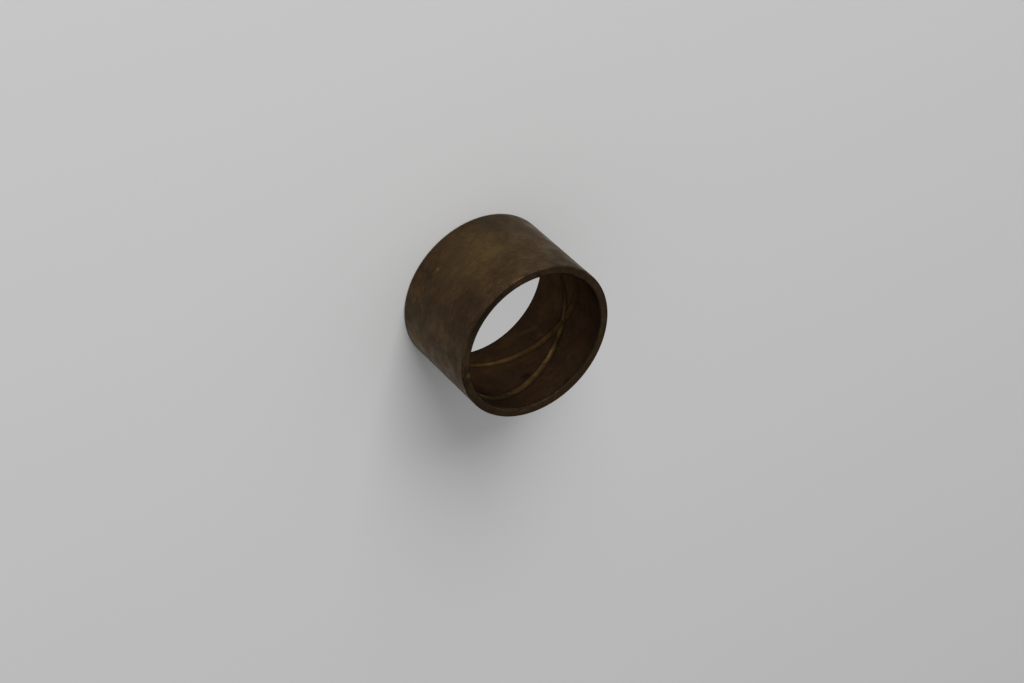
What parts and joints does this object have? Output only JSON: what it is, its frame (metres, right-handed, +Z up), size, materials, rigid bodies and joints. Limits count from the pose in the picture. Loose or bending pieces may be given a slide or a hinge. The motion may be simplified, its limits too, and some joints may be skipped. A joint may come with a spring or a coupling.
{
  "type": "plain sleeve bushing",
  "caption": "Thin-walled plain bronze sleeve bushing with chamfered edges and a closed figure-eight oil groove cut in its bore, pressed into a housing to carry a turning shaft.",
  "frame": {"origin": "centre of the lower end face, where the bushing stands", "axes": "+Z up along the bore; the oil groove crosses itself on the +Y side of the bore; +X completes the frame"},
  "size_m": [0.062, 0.062, 0.04],
  "materials": {
    "bronze": "turned bronze with a dark brown patina, brighter where edges and the groove are worn"
  },
  "bodies": {
    "root": {"bushing": "bronze"}
  },
  "joints": []
}
